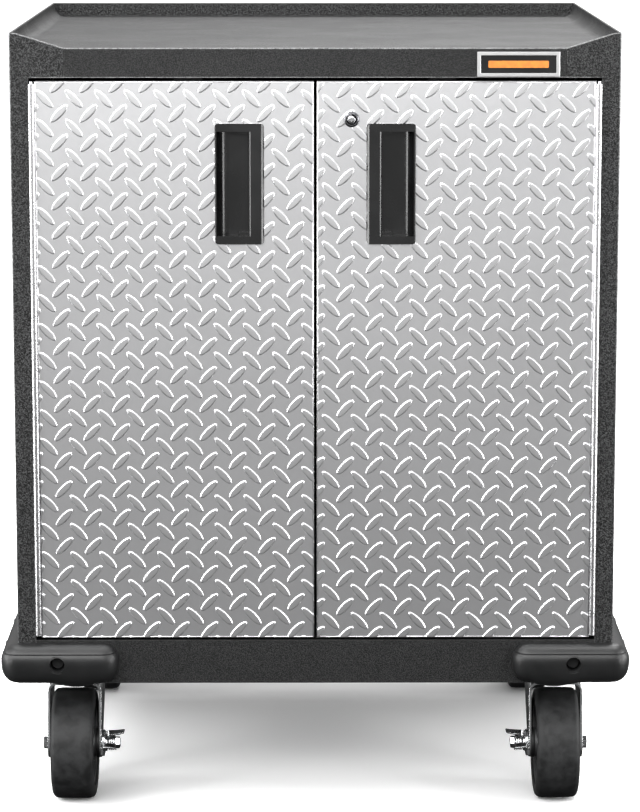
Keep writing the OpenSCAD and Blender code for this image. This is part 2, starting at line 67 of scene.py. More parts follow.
# %% Node helpers
def put(tree, kind, **values):
    """Adds a node. A keyword is a socket's name, with _ for a space."""
    node = tree.nodes.new(kind)
    for name, value in values.items():
        node.inputs[name.replace("_", " ")].default_value = value
    return node


def feed(tree, source, socket):
    """Joins another node's output to a socket, or sets a plain value on it."""
    if isinstance(source, bpy.types.NodeSocket):
        tree.links.new(source, socket)
    else:
        socket.default_value = source


def calculate(tree, operation, *terms):
    """A math node; each term is a socket or a number."""
    node = tree.nodes.new("ShaderNodeMath")
    node.operation = operation
    for term, socket in zip(terms, node.inputs):
        feed(tree, term, socket)
    return node.outputs[0]


def mix(tree, factor, first, second):
    """Blends two colours; the factor is a socket or a number."""
    node = tree.nodes.new("ShaderNodeMix")
    node.data_type = "RGBA"
    feed(tree, factor, node.inputs[0])
    feed(tree, first, node.inputs[6])
    feed(tree, second, node.inputs[7])
    return node.outputs[2]


def spread(tree, source, low, high, new_low=0.0, new_high=1.0):
    """Stretches the values between low and high to a new range, and clips the rest."""
    node = put(tree, "ShaderNodeMapRange", From_Min=low, From_Max=high, To_Min=new_low, To_Max=new_high)
    tree.links.new(source, node.inputs["Value"])
    return node.outputs["Result"]


def grey(value, blue=0.0):
    """A grey, made slightly cooler by blue."""
    return (value, value * (1 + blue / 2), value * (1 + blue), 1)


# %% [markdown]
# ## Effects that several finishes share
# Powder coat, moulded plastic and rubber all have a fine grain; steel and plastic alike show broad
# patches of handling; and painted or plated edges wear first. Each effect is one node group with
# named inputs, built once, so that every material can use it with its own values.

# %% Node groups: grain, patches and edge wear
def new_group(name, given, made):
    """An empty node group with float inputs (name: value) and float outputs."""
    group = bpy.data.node_groups.new(name, "ShaderNodeTree")
    for socket, value in given.items():
        added = group.interface.new_socket(socket, in_out="INPUT", socket_type="NodeSocketFloat")
        added.default_value = value
    for socket in made:
        group.interface.new_socket(socket, in_out="OUTPUT", socket_type="NodeSocketFloat")
    return group, group.nodes.new("NodeGroupInput"), group.nodes.new("NodeGroupOutput")


def noise_at(group, given, detail, distortion):
    """Noise over the object's own coordinates, with features as large as the group's Size input."""
    place = group.nodes.new("ShaderNodeTexCoord")
    scale = calculate(group, "DIVIDE", 1.0, given.outputs["Size"])
    noise = put(group, "ShaderNodeTexNoise", Detail=detail, Distortion=distortion)
    group.links.new(place.outputs["Object"], noise.inputs["Vector"])
    group.links.new(scale, noise.inputs["Scale"])
    return noise.outputs["Fac"]


def build_grain():
    group, given, made = new_group("Grain", {"Size": 0.002}, ("Height", "Speckle"))
    value = noise_at(group, given, detail=1.5, distortion=0.8)
    group.links.new(value, made.inputs["Height"])
    group.links.new(spread(group, value, 0.46, 0.60), made.inputs["Speckle"])
    return group


def build_patches():
    group, given, made = new_group("Patches", {"Size": 0.1}, ("Mask",))
    value = noise_at(group, given, detail=4.0, distortion=0.3)
    group.links.new(spread(group, value, 0.35, 0.65), made.inputs["Mask"])
    return group


def build_edge_wear():
    group, given, made = new_group("Edge wear", {"Size": 0.003, "Radius": 0.0012}, ("Mask",))
    rounded = group.nodes.new("ShaderNodeBevel")
    rounded.samples = 4
    group.links.new(given.outputs["Radius"], rounded.inputs["Radius"])
    true = group.nodes.new("ShaderNodeNewGeometry")
    meet = group.nodes.new("ShaderNodeVectorMath")
    meet.operation = "DOT_PRODUCT"
    group.links.new(rounded.outputs[0], meet.inputs[0])
    group.links.new(true.outputs["Normal"], meet.inputs[1])
    edge = spread(group, meet.outputs["Value"], 0.995, 0.85)
    chips = spread(group, noise_at(group, given, detail=3.0, distortion=0.0), 0.35, 0.6, 0.35, 1.0)
    group.links.new(calculate(group, "MULTIPLY", edge, chips), made.inputs["Mask"])
    return group


GRAIN, PATCHES, EDGE_WEAR = build_grain(), build_patches(), build_edge_wear()
print("node groups:", GRAIN.name, PATCHES.name, EDGE_WEAR.name)

# %% [markdown]
# ## Starting a material
# Each material places the groups with its own values, feeds the shader's colour and roughness from
# them, and ends with a bump.

# %% Placing a group and starting a material
def effect(tree, group, **values):
    """Places a node group with its own values."""
    node = tree.nodes.new("ShaderNodeGroup")
    node.node_tree = group
    for name, value in values.items():
        node.inputs[name].default_value = value
    return node


def start_material(name, **sockets):
    """A material whose Principled shader has these plain values."""
    material = bpy.data.materials.new(name)
    material.use_nodes = True
    tree = material.node_tree
    shader = tree.nodes["Principled BSDF"]
    for socket, value in sockets.items():
        shader.inputs[socket.replace("_", " ")].default_value = value
    return material, tree, shader


def vary_roughness(tree, shader, mask, low, high):
    """Roughness from low to high as the mask goes from 0 to 1."""
    feed(tree, spread(tree, mask, 0, 1, low, high), shader.inputs["Roughness"])


def add_bump(tree, shader, height, depth, strength=1.0):
    """Turns a height into a bump on the shader's normal; depth is in metres."""
    bump = put(tree, "ShaderNodeBump", Strength=strength, Distance=depth)
    tree.links.new(height, bump.inputs["Height"])
    tree.links.new(bump.outputs["Normal"], shader.inputs["Normal"])


# %% [markdown]
# ## Powder coat
# The body is charcoal powder coat with a coarse, worm-like hammered grain on the side panels and a
# finer one on the rails and the top. The grain shows in two ways: lighter flecks in the colour, and
# a bump that breaks up the highlight. Both come from the same noise, so they line up.

# %% Powder coat
def powder_coat(name, grain, dark, light, depth, rough):
    """Charcoal coat: flecks of two greys, broad patches, pale worn edges and a hammered bump."""
    material, tree, shader = start_material(name, Specular_IOR_Level=0.3)
    cells = effect(tree, GRAIN, Size=grain)
    broad = effect(tree, PATCHES, Size=0.09)
    wear = effect(tree, EDGE_WEAR, Size=0.004, Radius=0.0012)
    flecks = mix(tree, cells.outputs["Speckle"], grey(dark, 0.03), grey(light, 0.03))
    shaded = mix(tree, spread(tree, broad.outputs["Mask"], 0, 1, 0.0, 0.12), flecks, grey(dark))
    feed(tree, mix(tree, wear.outputs["Mask"], shaded, grey(light * 2.2)), shader.inputs["Base Color"])
    vary_roughness(tree, shader, broad.outputs["Mask"], rough, rough + 0.1)
    add_bump(tree, shader, cells.outputs["Height"], depth)
    return material


COARSE_COAT = powder_coat("powder_coat_coarse", 0.0016, 0.0004, 0.060, 0.0014, 0.40)
FINE_COAT = powder_coat("powder_coat_fine", 0.0011, 0.0010, 0.034, 0.0008, 0.42)
# A much paler coat for the rods along the folded edges: a painted highlight.
PAINTED_HIGHLIGHT_COAT = powder_coat("powder_coat_painted_highlight", 0.0014, 0.030, 0.260, 0.0003, 0.30)
print("coats:", COARSE_COAT.name, FINE_COAT.name, PAINTED_HIGHLIGHT_COAT.name)

# %% [markdown]
# ## Metals
# The doors have a silver coat over pressed steel: almost a metal, with a soft, even sheen.
# The casters and the lock are bright zinc and chrome, which need low roughness and something to
# reflect, and the lock's ring is a darker nickel. Slow changes in roughness keep large plain metal
# from looking like a perfect mirror.

# %% Metals
def metal(name, colour, rough, uneven, patch_size, grain, depth, metallic=1.0, worn=0.4):
    """Bare or coated metal: uneven is how far the patches raise the roughness above rough."""
    material, tree, shader = start_material(name, Metallic=metallic)
    broad = effect(tree, PATCHES, Size=patch_size)
    fine = effect(tree, GRAIN, Size=grain)
    wear = effect(tree, EDGE_WEAR, Size=0.003, Radius=0.0006)
    darker = tuple(c * 0.82 for c in colour[:3]) + (1,)
    brighter = tuple(min(1.0, c * 1.15) for c in colour[:3]) + (1,)
    tone = mix(tree, spread(tree, broad.outputs["Mask"], 0, 1, 0.0, 0.5), colour, darker)
    edged = mix(tree, spread(tree, wear.outputs["Mask"], 0, 1, 0.0, worn), tone, brighter)
    feed(tree, edged, shader.inputs["Base Color"])
    vary_roughness(tree, shader, broad.outputs["Mask"], rough, rough + uneven)
    add_bump(tree, shader, fine.outputs["Height"], depth)
    return material


SILVER_COAT = metal("silver_coat", (0.84, 0.84, 0.85, 1), 0.31, 0.02, 0.12, 0.0011, 0.00004, 0.95, 0.6)
BRIGHT_ZINC = metal("bright_zinc", (0.80, 0.81, 0.82, 1), 0.15, 0.10, 0.012, 0.0015, 0.00005, 1.0, 0.6)
DULL_ZINC = metal("dull_zinc", (0.72, 0.72, 0.73, 1), 0.24, 0.10, 0.008, 0.0010, 0.00004)
LOCK_CHROME = metal("lock_chrome", (0.72, 0.72, 0.73, 1), 0.10, 0.05, 0.004, 0.0008, 0.00001)
LOCK_RING = metal("lock_ring_metal", (0.20, 0.20, 0.21, 1), 0.18, 0.06, 0.004, 0.0008, 0.00001)
BADGE_METAL = metal("badge_metal", (0.82, 0.82, 0.82, 1), 0.28, 0.06, 0.010, 0.0005, 0.00001)
print("metals:", SILVER_COAT.name, BRIGHT_ZINC.name, DULL_ZINC.name, LOCK_CHROME.name, LOCK_RING.name)

# %% [markdown]
# ## Plastics and rubber
# The pulls are glossy black, the bumpers a dark rubbery grey with a fine leather-like grain, and
# the tyres a mottled dull grey. All three share one recipe and differ in their values.

# %% Plastics and rubber
def moulded(name, dark, light, rough, grain, depth, patch_size=0.05, **sockets):
    """Plastic or rubber: two close greys in patches, paler rubbed edges and a fine grain."""
    material, tree, shader = start_material(name, **sockets)
    broad = effect(tree, PATCHES, Size=patch_size)
    fine = effect(tree, GRAIN, Size=grain)
    wear = effect(tree, EDGE_WEAR, Size=0.003, Radius=0.0008)
    tone = mix(tree, broad.outputs["Mask"], grey(dark, 0.05), grey(light, 0.05))
    edged = mix(tree, spread(tree, wear.outputs["Mask"], 0, 1, 0.0, 0.5), tone, grey(light * 2.0))
    feed(tree, edged, shader.inputs["Base Color"])
    vary_roughness(tree, shader, broad.outputs["Mask"], rough, rough + 0.12)
    add_bump(tree, shader, fine.outputs["Height"], depth)
    return material


PULL_PLASTIC = moulded("pull_plastic", 0.004, 0.007, 0.22, 0.0007, 0.00003, Specular_IOR_Level=0.35,
                      Coat_Weight=0.5, Coat_Roughness=0.12)
BUMPER_PLASTIC = moulded("bumper_plastic", 0.009, 0.015, 0.36, 0.0009, 0.00010)
TYRE_RUBBER = moulded("tyre_rubber", 0.012, 0.028, 0.50, 0.0012, 0.00012, 0.012, Specular_IOR_Level=0.3)
CORE_PLASTIC = moulded("core_plastic", 0.035, 0.050, 0.38, 0.0010, 0.00005)
BLACK_PARTS = moulded("black_parts", 0.010, 0.016, 0.45, 0.0010, 0.00005)
BADGE_BLACK = moulded("badge_black", 0.006, 0.009, 0.14, 0.0006, 0.00001)


def enamel(name, colour):
    """Glossy enamel in one hue, with slight unevenness."""
    material, tree, shader = start_material(name, Coat_Weight=0.4)
    broad = effect(tree, PATCHES, Size=0.006)
    deeper = tuple(c * 0.75 for c in colour[:3]) + (1,)
    feed(tree, mix(tree, broad.outputs["Mask"], colour, deeper), shader.inputs["Base Color"])
    vary_roughness(tree, shader, broad.outputs["Mask"], 0.28, 0.4)
    return material


BADGE_ORANGE = enamel("badge_orange", (0.80, 0.26, 0.04, 1))
print("materials:", len(bpy.data.materials))

# %% [markdown]
# ## Dressing the sheet-metal parts
# Folded sheet is right as it stands, apart from its edges: real sheet has a small radius that
# catches the light. A weld, a bevel limited to sharp angles and weighted normals give each part
# that soft edge without touching its mesh.

# %% Dress a node: a material and soft edges
def even_shading(piece):
    """Weighted normals: large faces keep their own direction and small ones blend."""
    shade = piece.modifiers.new("even_shading", "WEIGHTED_NORMAL")
    shade.keep_sharp = True


def soften(piece, width, segments=2, angle=35):
    """Rounds the sharp edges of a piece. Coplanar triangles are joined first, so none shows a line."""
    weld = piece.modifiers.new("weld", "WELD")
    weld.merge_threshold = 0.00002
    flat = piece.modifiers.new("one_face_per_plane", "DECIMATE")
    flat.decimate_type = "DISSOLVE"
    flat.angle_limit = math.radians(0.5)
    bevel = piece.modifiers.new("soft_edges", "BEVEL")
    bevel.width = width
    bevel.segments = segments
    bevel.limit_method = "ANGLE"
    bevel.angle_limit = math.radians(angle)
    bevel.use_clamp_overlap = True
    even_shading(piece)


def dress(node, material, edge=0.0, segments=2):
    """Gives a node its material and, with an edge width, soft edges."""
    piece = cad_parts[node]
    piece.data.materials.clear()
    piece.data.materials.append(material)
    if edge:
        soften(piece, edge, segments)


for node in ("left_side_panel", "right_side_panel", "back_panel"):
    dress(node, COARSE_COAT, 0.5 * MM)
for node in ("top_tray", "front_top_rail", "front_bottom_rail", "bottom_pan",
             "caster_channels", "shelf", "left_door_inner_panel", "right_door_inner_panel"):
    dress(node, FINE_COAT, 0.4 * MM)
for side in SIDES:
    dress(f"{side}_door_skin", SILVER_COAT, 0.9 * MM, 3)
    dress(f"{side}_door_handle", PULL_PLASTIC, 1.3 * MM, 4)
    dress(f"{side}_frame_hinge_leaf", DULL_ZINC)
    dress(f"{side}_door_hinge_leaf", DULL_ZINC)
    dress(f"{side}_strike_plate", DULL_ZINC, 0.2 * MM)
    dress(f"front_{side}_caster_plate", BRIGHT_ZINC, 0.4 * MM)
    dress(f"front_{side}_swivel_balls", DULL_ZINC)
    dress(f"front_{side}_axle", BRIGHT_ZINC, 0.3 * MM)
    dress(f"front_{side}_brake_disc", BLACK_PARTS, 0.3 * MM)
    dress(f"rear_{side}_caster_fork", BRIGHT_ZINC, 0.5 * MM)
for node in ("shelf_standards", "shelf_clips", "hinge_pins", "caster_bolts", "lock_nut", "lock_cam"):
    dress(node, DULL_ZINC, 0.2 * MM)
# The bumper screws are black so that the holes they sit in read dark: painted shade.
dress("bumper_screws", BLACK_PARTS, 0.2 * MM)
dress("rear_axles", BRIGHT_ZINC, 0.3 * MM)
dress("magnet_catches", BLACK_PARTS, 0.5 * MM)
dress("badge_frame", BADGE_METAL, 0.4 * MM)
dress("badge_plate", BADGE_BLACK)
print("dressed:", sum(1 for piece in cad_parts.values() if piece.modifiers), "nodes with soft edges")

# %% [markdown]
# ## Making new pieces
# A new piece starts as an empty bmesh. When its shape is done, it becomes an object that rides on
# a body, stands for the plain node it replaces, and takes its own material.

# %% From a bmesh to a finished piece
WELD = 0.000005


def as_object(bm, name):
    """A bmesh as an object of its own, welded and with its faces outward."""
    bmesh.ops.remove_doubles(bm, verts=bm.verts[:], dist=WELD)
    bmesh.ops.recalc_face_normals(bm, faces=bm.faces[:])
    mesh = bpy.data.meshes.new(name)
    bm.to_mesh(mesh)
    bm.free()
    made = bpy.data.objects.new(name, mesh)
    bpy.context.scene.collection.objects.link(made)
    return made


def finish_piece(bm, name, body, material, replaced=(), smooth=True):
    """Turns a bmesh into a piece that rides a body; replaced names the nodes that it stands for."""
    piece = as_object(bm, name)
    piece.data.materials.append(material)
    piece.data.polygons.foreach_set("use_smooth", [smooth] * len(piece.data.polygons))
    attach(piece, body)
    if replaced:
        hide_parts(*replaced)
    print(name, len(piece.data.polygons), "faces")
    return piece


def hard_edges(piece, degrees):
    """Marks edges that turn by more than this many degrees, so that shading stops there."""
    piece.data.set_sharp_from_angle(angle=math.radians(degrees))


# %% [markdown]
# ## Solids from rings
# Lugs, rods, strips and plates are all rings of vertices, joined by walls and closed at both ends.

# %% Joining rings
def loft(bm, rings):
    """A closed solid through a list of vertex rings."""
    for first, second in zip(rings, rings[1:]):
        for k in range(len(first)):
            nxt = (k + 1) % len(first)
            bm.faces.new((first[k], first[nxt], second[nxt], second[k]))
    bm.faces.new(rings[0][::-1])
    bm.faces.new(rings[-1])


# %% [markdown]
# ## Tread plate
# Each door is pressed steel with rows of raised, lens-shaped lugs, leaning one way and then the
# other. A bump map would vanish at the flanks, where the light is, so each lug is a small mesh of
# rings: its foot sunk in the sheet, a sloping flank, and a flat top.

# %% One lug
LUG_LENGTH, LUG_WIDTH, LUG_HEIGHT = 27.4 * MM, 9.4 * MM, 1.35 * MM
LUG_STEPS = 28
LUG_FULLNESS = 1.05
# Each ring is an inset from the lug's outline and a height above the sheet.
LUG_RINGS = (
    (0.0, -0.5 * MM), (0.2 * MM, 0.1 * MM), (0.7 * MM, 0.6 * MM),
    (1.4 * MM, 1.08 * MM), (2.0 * MM, LUG_HEIGHT),
)
PITCH = 32.5 * MM
LEAN = math.radians(46)


def add_lug(bm, x, z, lean):
    """A closed lens-shaped lug on the door's face."""
    along = Vector((math.cos(lean), 0, math.sin(lean)))
    across = Vector((-math.sin(lean), 0, math.cos(lean)))
    centre = Vector((x, front_y, z))
    rings = []
    for inset, height in LUG_RINGS:
        ring = []
        for k in range(LUG_STEPS):
            turn = 2 * math.pi * k / LUG_STEPS
            far = (LUG_LENGTH / 2 - inset) * math.cos(turn)
            bulge = math.copysign(abs(math.sin(turn)) ** LUG_FULLNESS, math.sin(turn))
            wide = (LUG_WIDTH / 2 - inset) * bulge
            ring.append(bm.verts.new(centre + along * far + across * wide - Vector((0, height, 0))))
        rings.append(ring)
    loft(bm, rings)


# %% [markdown]
# A lug that crosses the door's border or the pull is made on its own, cut with planes and closed.

# %% Trimming to a rectangle of the door's face
def trim(bm, low, high):
    """Keeps what lies between the corners (x, z) and closes the cuts."""
    cuts = (((low[0], 0, 0), (-1, 0, 0)), ((high[0], 0, 0), (1, 0, 0)),
            ((0, 0, low[1]), (0, 0, -1)), ((0, 0, high[1]), (0, 0, 1)))
    for place, outward in cuts:
        everything = bm.verts[:] + bm.edges[:] + bm.faces[:]
        made = bmesh.ops.bisect_plane(
            bm, geom=everything, plane_co=place, plane_no=outward, clear_outer=True)
        rim = [e for e in made["geom_cut"] if isinstance(e, bmesh.types.BMEdge)]
        bmesh.ops.holes_fill(bm, edges=rim, sides=0)


def merge(bm, other):
    """Adds another bmesh to bm."""
    mesh = bpy.data.meshes.new("part")
    other.to_mesh(mesh)
    other.free()
    bm.from_mesh(mesh)
    bpy.data.meshes.remove(mesh)


# %% [markdown]
# The lugs lie on two square grids, one halfway between the other's places and leaning the other way.
# Each door is cut from its own place in the sheet.

# %% Where a door's lugs lie
LUG_START = {"left": (-282.0 * MM, 800.7 * MM), "right": (65.9 * MM, 827.6 * MM)}


def grid_lines(start, low, high):
    """Multiples of the pitch from start that reach past both ends."""
    return range(math.floor((low - start) / PITCH), math.ceil((high - start) / PITCH) + 1)


def within(zone, x, z, margin):
    """Whether (x, z) lies in a zone (low corner, high corner) grown by a margin."""
    low, high = zone
    return low[0] - margin < x < high[0] + margin and low[1] - margin < z < high[1] + margin


def lug_places(side, skin, reach):
    """The (x, z, lean) of every lug that touches the door's skin."""
    places = []
    for half, lean in ((0, LEAN), (1, -LEAN)):
        start_x = LUG_START[side][0] + half * PITCH / 2
        start_z = LUG_START[side][1] + half * PITCH / 2
        for column in grid_lines(start_x, skin[0][0], skin[1][0]):
            for row in grid_lines(start_z, skin[0][1], skin[1][1]):
                x, z = start_x + column * PITCH, start_z + row * PITCH
                if within(skin, x, z, reach):
                    places.append((x, z, lean))
    return places


# %% Both doors' lugs
BORDER = 1.0 * MM
LUG_REACH = LUG_LENGTH / 2 * math.cos(LEAN) + 1.5 * MM
CUT_ANGLE = 58


def door_lugs(side):
    """All lugs of one door as a single piece, trimmed at the border and round the pull."""
    low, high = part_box(f"{side}_door_skin")
    pull_low, pull_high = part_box(f"{side}_door_handle")
    whole = ((low.x + BORDER, low.z + BORDER), (high.x - BORDER, high.z - BORDER))
    pull = ((pull_low.x, pull_low.z), (pull_high.x, pull_high.z))
    beside_pull = (
        (whole[0], (pull_low.x, whole[1][1])), ((pull_high.x, whole[0][1]), whole[1]),
        ((pull_low.x, whole[0][1]), (pull_high.x, pull_low.z)),
        ((pull_low.x, pull_high.z), (pull_high.x, whole[1][1])),
    )
    places = lug_places(side, ((low.x, low.z), (high.x, high.z)), LUG_REACH)
    bm = bmesh.new()
    for x, z, lean in places:
        near_pull = within(pull, x, z, LUG_REACH)
        if within(whole, x, z, -LUG_REACH) and not near_pull:
            add_lug(bm, x, z, lean)
            continue
        for zone in beside_pull if near_pull else (whole,):
            piece = bmesh.new()
            add_lug(piece, x, z, lean)
            trim(piece, *zone)
            merge(bm, piece)
    print(side, "door:", len(places), "lugs")
    piece = finish_piece(bm, f"{side}_door_tread", f"{side}_door", SILVER_COAT)
    hard_edges(piece, CUT_ANGLE)
    even_shading(piece)


for side in SIDES:
    door_lugs(side)

# %% [markdown]
# ## Turned parts
# Tyres, wheel cores and the lock are round, so each is an outline of (radius, along) pairs turned
# round an axis. The same function makes them all.

# %% Turning an outline round an axis
def arc(centre_r, centre_a, radius, start, end, steps):
    """Points of an arc in (radius, along), with angles in degrees from +radius to +along."""
    turns = [math.radians(start + (end - start) * k / steps) for k in range(steps + 1)]
    return [(centre_r + radius * math.cos(t), centre_a + radius * math.sin(t)) for t in turns]


def turn_outline(bm, outline, centre, axis, steps=96, closed=True):
    """Turns an outline round the axis "X", "Y" or "Z" through centre."""
    order = {"X": (1, 2, 0), "Y": (2, 0, 1), "Z": (0, 1, 2)}[axis]
    rings = []
    for k in range(steps):
        turn = 2 * math.pi * k / steps
        ring = []
        for radius, along in outline:
            place = Vector(centre)
            place[order[0]] += radius * math.cos(turn)
            place[order[1]] += radius * math.sin(turn)
            place[order[2]] += along
            ring.append(bm.verts.new(place))
        rings.append(ring)
    last = len(outline) if closed else len(outline) - 1
    for k in range(steps):
        ring, nxt = rings[k], rings[(k + 1) % steps]
        for i in range(last):
            j = (i + 1) % len(outline)
            bm.faces.new((ring[i], ring[j], nxt[j], nxt[i]))


def outline_mm(pairs, along=0.0, sign=1):
    """An outline given in millimetres, moved along the axis and, with sign -1, mirrored."""
    return [(radius * MM, along + sign * out * MM) for radius, out in pairs]


# %% [markdown]
# ## Wheels
# The tyre is a solid ring of grey rubber with round shoulders and a fine moulding line beside each.
# The core is moulded nylon: a dished disc with a hub, a rim and radial ribs.

# %% Tyres
TYRE_SHOULDER = 6.5 * MM
MOULDING_LINE = 0.35 * MM


def make_tyre(prefix, body):
    low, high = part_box(f"{prefix}_tyre")
    centre = (low + high) / 2
    radius, half = (high.z - low.z) / 2, (high.x - low.x) / 2
    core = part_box(f"{prefix}_wheel_core")
    bore = (core[1].z - core[0].z) / 2
    right = [(bore, half - 1.5 * MM), (bore + 2 * MM, half)]
    right += arc(radius - TYRE_SHOULDER - MOULDING_LINE, half - TYRE_SHOULDER, TYRE_SHOULDER, 90, 12, 8)
    right += [(radius - MOULDING_LINE, half - TYRE_SHOULDER - 1.5 * MM),
              (radius - 0.1 * MM, half - TYRE_SHOULDER - 2.5 * MM)]
    left = [(r, -a) for r, a in reversed(right)]
    bm = bmesh.new()
    turn_outline(bm, right + [(radius, 0.0)] + left, centre, "X", 128)
    even_shading(finish_piece(bm, f"{prefix}_tyre_shaped", body, TYRE_RUBBER, [f"{prefix}_tyre"]))


# %% Wheel cores
BORE_R, HUB_R, DISH_R = 6.6 * MM, 17 * MM, 44 * MM
RIBS, RIB_HALF = 8, 1.6 * MM
RIB_FOOT, RIB_RISE = 1 * MM, 3.5 * MM


def add_rib(bm, centre, turn, low_a, high_a):
    """A tapering rib from the hub to the rim, standing on the dish from low_a to high_a along the axle."""
    along = Vector((0, math.cos(turn), math.sin(turn)))
    across = Vector((0, -math.sin(turn), math.cos(turn)))
    rings = []
    for a, width in ((low_a, RIB_HALF), (high_a, RIB_HALF * 0.6)):
        corners = ((HUB_R, -width), (DISH_R, -width), (DISH_R, width), (HUB_R, width))
        rings.append([bm.verts.new(centre + along * far + across * wide + Vector((a, 0, 0)))
                      for far, wide in corners])
    loft(bm, rings)


def make_core(prefix, body):
    """A dished disc with a chamfered hub and rim, and ribs on both sides."""
    low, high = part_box(f"{prefix}_wheel_core")
    centre = (low + high) / 2
    radius, half = (high.z - low.z) / 2, (high.x - low.x) / 2
    edge = half - 3 * MM
    dish = edge - 5 * MM
    side = [
        (BORE_R, half - 0.6 * MM), (BORE_R + 0.6 * MM, half),
        (HUB_R - 1.2 * MM, half), (HUB_R, half - 1.2 * MM),
        (HUB_R + 0.4 * MM, dish + 1 * MM), (HUB_R + 1.5 * MM, dish),
        (DISH_R - 2 * MM, dish), (DISH_R - 0.8 * MM, dish + 1 * MM),
        (DISH_R, edge - 0.6 * MM), (DISH_R + 0.8 * MM, edge),
        (radius - 0.6 * MM, edge), (radius, edge - 0.6 * MM),
    ]
    bm = bmesh.new()
    turn_outline(bm, side + [(r, -a) for r, a in reversed(side)], centre, "X")
    for sign in (-1, 1):
        for k in range(RIBS):
            add_rib(bm, centre, 2 * math.pi * k / RIBS, sign * (dish - RIB_FOOT), sign * (dish + RIB_RISE))
    even_shading(finish_piece(bm, f"{prefix}_wheel_core_shaped", body, CORE_PLASTIC,
                              [f"{prefix}_wheel_core"]))


for prefix in ("front_left", "front_right", "rear_left", "rear_right"):
    make_tyre(prefix, f"{prefix}_wheel")
    make_core(prefix, f"{prefix}_wheel")

# %% [markdown]
# ## Folded edges
# The free edges of the sheet are folded over, and each catches the light as a fine light line.
# A rod of 1.6 mm swept along each edge, a quarter of a millimetre proud of the sheet, in a much
# paler coat, paints that line from every side: a painted highlight. The doors' skins are folded back as
# well.

# %% Rods along the folded edges
EDGE_R = 0.8 * MM
PROUD = 0.25 * MM


def add_rod(bm, points, radius, steps=10):
    """Sweeps a circle along a bent line, with a mitre at each bend."""
    points = [Vector(point) for point in points]
    rings = []
    for k, point in enumerate(points):
        before = (point - points[k - 1]).normalized() if k else (points[1] - point).normalized()
        after = (points[k + 1] - point).normalized() if k + 1 < len(points) else before
        heading = (before + after).normalized()
        stretch = 1 / max(heading.dot(before), 0.5)
        side = heading.cross(Vector((0.1, 1, 0.2))).normalized()
        if abs(heading.y) > 0.9:
            side = heading.cross(Vector((1, 0, 0.2))).normalized()
        up = heading.cross(side)
        bend = after - before
        ring = []
        for i in range(steps):
            turn = 2 * math.pi * i / steps
            spoke = side * math.cos(turn) + up * math.sin(turn)
            if bend.length > 0.01:
                spoke += bend.normalized() * spoke.dot(bend.normalized()) * (stretch - 1)
            ring.append(bm.verts.new(point + spoke * radius))
        rings.append(ring)
    loft(bm, rings)


# %% The cabinet's edges
def make_edges():
    """The front edge dips at the tray, so its rod is bent; the others are straight."""
    inset = EDGE_R - PROUD
    rail_low, rail_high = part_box("front_top_rail")
    top = rim_z - EDGE_R
    flat_x, low_x = side_x - 7 * MM, side_x - 59.7 * MM
    front = front_y + inset
    outer = side_x - inset
    bm = bmesh.new()
    add_rod(bm, [(-outer, front, top), (-flat_x, front, top), (-low_x, front, tray_z - inset),
                 (low_x, front, tray_z - inset), (flat_x, front, top), (outer, front, top)], EDGE_R)
    for sign in (-1, 1):
        add_rod(bm, [(sign * outer, front, top), (sign * outer, back_y - inset, top)], EDGE_R)
        add_rod(bm, [(sign * outer, front, body_bottom + EDGE_R), (sign * outer, front, top)], EDGE_R)
    add_rod(bm, [(-outer, back_y - inset, top), (outer, back_y - inset, top)], EDGE_R)
    rail_z = rail_low.z + EDGE_R
    add_rod(bm, [(rail_low.x + 2 * MM, front, rail_z), (rail_high.x - 2 * MM, front, rail_z)], EDGE_R * 0.8)
    # The rods' pale coat paints the light line along each edge: a painted highlight.
    finish_piece(bm, "folded_edges", "cabinet", PAINTED_HIGHLIGHT_COAT)


make_edges()


# %% The doors' edges
RIM_R = 0.9 * MM
RIM_PROUD = 0.35 * MM


def make_door_rims(side):
    """A polished line round a door, where its skin is folded back."""
    low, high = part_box(f"{side}_door_skin")
    front = front_y + RIM_R - RIM_PROUD
    left, right, bottom, top = low.x + RIM_R, high.x - RIM_R, low.z + RIM_R, high.z - RIM_R
    corners = [(x, front, z) for x, z in ((left, bottom), (left, top), (right, top), (right, bottom))]
    bm = bmesh.new()
    for k in range(4):
        add_rod(bm, [corners[k], corners[(k + 1) % 4]], RIM_R)
    finish_piece(bm, f"{side}_door_rim", f"{side}_door", SILVER_COAT)


for side in SIDES:
    make_door_rims(side)

# %% [markdown]
# ## Screws in the back
# The back is a separate panel. Pan-head screws along its edges hold it to the side panels; each is
# a turned dome.

# %% Back screws
SCREW_DOME = ((4.2, -0.5), (4.2, 0.5), (3.6, 1.4), (2.4, 2.0), (1.2, 2.1), (1.0, 1.2), (0.0, 1.2))


def make_back_screws():
    bm = bmesh.new()
    for k in range(5):
        z = body_bottom + 40 * MM + (rim_z - body_bottom - 80 * MM) * k / 4
        for sign in (-1, 1):
            place = (sign * (side_x - 14 * MM), 0, z)
            turn_outline(bm, outline_mm(SCREW_DOME, back_y), place, "Y", 20, closed=False)
    even_shading(finish_piece(bm, "back_screws", "cabinet", DULL_ZINC))


make_back_screws()

# %% [markdown]
# ## Bumpers
# Each corner has one moulded bumper with a D-shaped section that runs round the corner and ends in
# round noses. It is swept station by station: every station has a place on the body and a heading,
# and the section is laid out along that heading. A parting line runs along the upper side, the
# front arm sags over the caster, and a screw sits deep in each of three holes.

# %% The bumper's section and its route
# The section is half of a D, as (out from the body, up), with the parting line's small step near the top.
BUMPER_SECTION = (
    (0.0, 18.0), (4.0, 18.0), (8.0, 17.3), (11.5, 15.4), (14.0, 12.9), (15.8, 10.2), (16.3, 9.2),
    (15.8, 8.8), (15.8, 8.4), (17.3, 8.0), (18.2, 6.4), (19.1, 3.6), (19.6, 0.6), (19.6, -3.0),
    (19.3, -7.5), (18.6, -12.0), (17.2, -16.5), (14.8, -20.5), (11.5, -23.8), (7.5, -26.0),
    (3.5, -26.9), (0.0, -27.0),
)
BELLY = 5.0 * MM
BELLY_FROM, BELLY_TO = 98 * MM, 34 * MM


